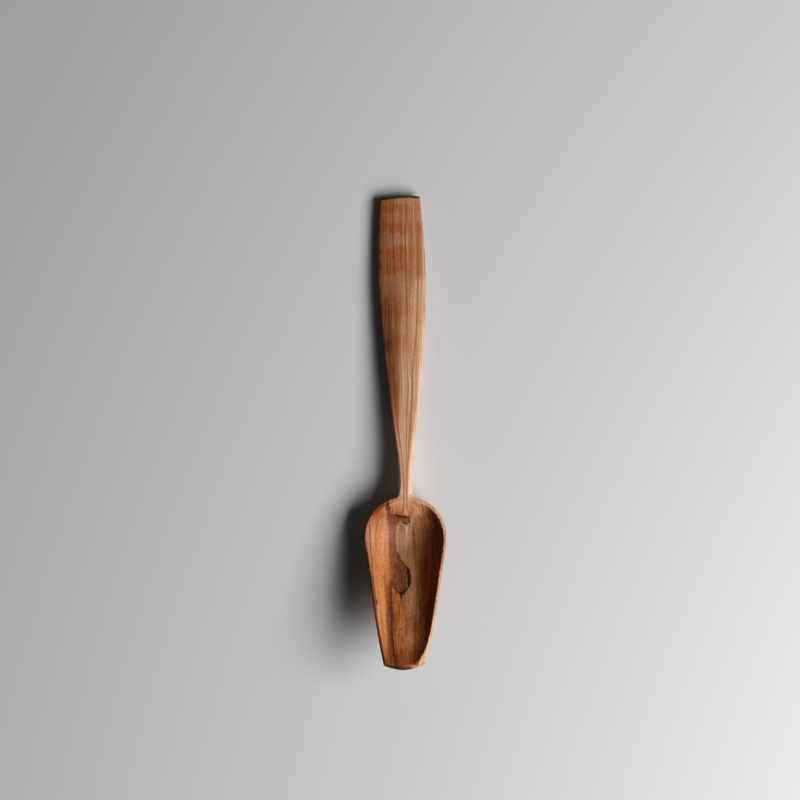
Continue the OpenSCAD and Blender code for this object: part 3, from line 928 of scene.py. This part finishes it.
class CarveSpoon(bpy.types.Operator):
    """Carves the fine surface of the spoon from its CAD solid and gives it its wood"""

    bl_idname = "carved_spoon.carve"
    bl_label = "Carve the spoon"

    def execute(self, context):
        carving = context.scene.spoon_carving
        activate(frame["nodes"]["spoon"])
        bpy.ops.object.duplicate()
        piece = context.active_object
        piece.name = "carved_spoon"
        piece.data.name = "carved_spoon"
        bpy.ops.object.parent_clear(type="CLEAR_KEEP_TRANSFORM")
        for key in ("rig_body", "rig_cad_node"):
            if key in piece:
                del piece[key]
        bpy.ops.object.mode_set(mode="EDIT")
        bpy.ops.mesh.select_all(action="SELECT")
        bpy.ops.mesh.remove_doubles(threshold=SAME_PLACE)
        bpy.ops.object.mode_set(mode="OBJECT")
        modify(piece, "REMESH", "Fine grid", mode="VOXEL", voxel_size=carving.cell)
        modify(piece, "SMOOTH", "Round the edges", factor=0.5, iterations=carving.soften)

        turn, a, b, normals = sharp_edges(piece.data)
        even = spread_out(np.clip((EDGE_TURN - turn) / (EDGE_TURN - LEVEL_TURN), 0, 1), a, b, EDGE_PASSES)
        weigh(piece, "between edges", even)
        modify(piece, "SMOOTH", "Level", factor=0.5, iterations=carving.level, vertex_group="between edges")

        facing_down = np.clip((BACK_BEGINS - normals[:, 2]) / BACK_FADE, 0, 1)
        facing_up = np.clip(normals[:, 2], 0, 1)
        weigh(piece, "back", spread_out(facing_down * even, a, b, CUT_PASSES))
        weigh(piece, "top", spread_out(facing_up * even, a, b, CUT_PASSES))
        cut = (carving.cut_width, carving.cut_length, carving.cut_depth)
        knife_cuts(piece, "cuts on the back", *cut, "back")
        top_cut = [size * times for size, times in zip(cut, TOP_CUTS)]
        knife_cuts(piece, "cuts on the top", *top_cut, "top", TOP_CUT_TURN)
        bpy.ops.object.shade_smooth()
        piece.vertex_groups.clear()

        piece.data.materials.clear()
        piece.data.materials.append(wood_material(context.scene.spoon_wood))
        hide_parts("spoon")
        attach(piece, "root")
        return {"FINISHED"}


class SetStage(bpy.types.Operator):
    """Adds the floor, the light and the camera that looks straight down on the spoon"""

    bl_idname = "carved_spoon.stage"
    bl_label = "Set the stage"

    def execute(self, context):
        stage = context.scene.spoon_stage
        deselect()
        bpy.ops.mesh.primitive_plane_add(size=stage.floor_size, location=(0, 0, -FLOOR_GAP))
        floor = context.active_object
        floor.name = "floor"
        bpy.ops.object.transform_apply(location=True, rotation=True, scale=True)
        p = Pattern("floor")
        inputs = {"Base Color": color(stage.floor_color), "Roughness": FLOOR_ROUGHNESS}
        shader = p.node("BsdfPrincipled", inputs)
        p.node("OutputMaterial", {0: shader.outputs[0]})
        floor.data.materials.append(p.material)

        bpy.ops.object.light_add(type="AREA")
        key = context.active_object
        key.name = "key light"
        key.data.shape = "RECTANGLE"
        key.data.size = stage.key_width
        key.data.size_y = stage.key_depth
        key.data.energy = stage.key_power
        reach = stage.key_distance * math.cos(stage.key_height)
        key.location = (
            reach * math.cos(stage.key_turn),
            reach * math.sin(stage.key_turn),
            stage.key_distance * math.sin(stage.key_height),
        )
        key.rotation_euler = key.location.to_track_quat("Z", "Y").to_euler()

        world = bpy.data.worlds.new("soft fill")
        world.use_nodes = True
        background = world.node_tree.nodes["Background"]
        background.inputs["Color"].default_value = color(stage.fill_color)
        background.inputs["Strength"].default_value = stage.fill
        context.scene.world = world
        context.scene.view_settings.view_transform = "Standard"

        x, y, z = stage.frame_middle
        bpy.ops.object.camera_add(location=(x, y, z + stage.camera_height), rotation=(0, 0, 0))
        camera = context.active_object
        camera.name = "camera"
        camera.data.lens = camera.data.sensor_width * stage.camera_height / stage.frame_width
        camera.data.clip_start = CLIP_NEAR
        camera.data.clip_end = CLIP_FAR
        context.scene.camera = camera
        return {"FINISHED"}


class SpoonPanel(bpy.types.Panel):
    """Lists the steps and the settings of the carved spoon"""

    bl_idname = "VIEW3D_PT_carved_spoon"
    bl_label = "Carved Spoon"
    bl_space_type = "VIEW_3D"
    bl_region_type = "UI"
    bl_category = "Carved Spoon"

    def draw(self, context):
        layout = self.layout
        steps = {"spoon_carving": CarveSpoon, "spoon_wood": None, "spoon_stage": SetStage}
        for name, operator in steps.items():
            box = layout.box()
            settings = getattr(context.scene, name)
            for key in settings.__annotations__:
                box.prop(settings, key)
            if operator:
                box.operator(operator.bl_idname)


CLASSES = (CarvingSettings, WoodSettings, StageSettings, CarveSpoon, SetStage, SpoonPanel)
SETTINGS = {"spoon_carving": CarvingSettings, "spoon_wood": WoodSettings, "spoon_stage": StageSettings}


def register():
    for cls in CLASSES:
        bpy.utils.register_class(cls)
    for name, cls in SETTINGS.items():
        setattr(bpy.types.Scene, name, bpy.props.PointerProperty(type=cls))


def unregister():
    for name in SETTINGS:
        delattr(bpy.types.Scene, name)
    for cls in reversed(CLASSES):
        bpy.utils.unregister_class(cls)


def main():
    register()
    bpy.ops.carved_spoon.carve()
    bpy.ops.carved_spoon.stage()


if __name__ == "__main__":
    main()
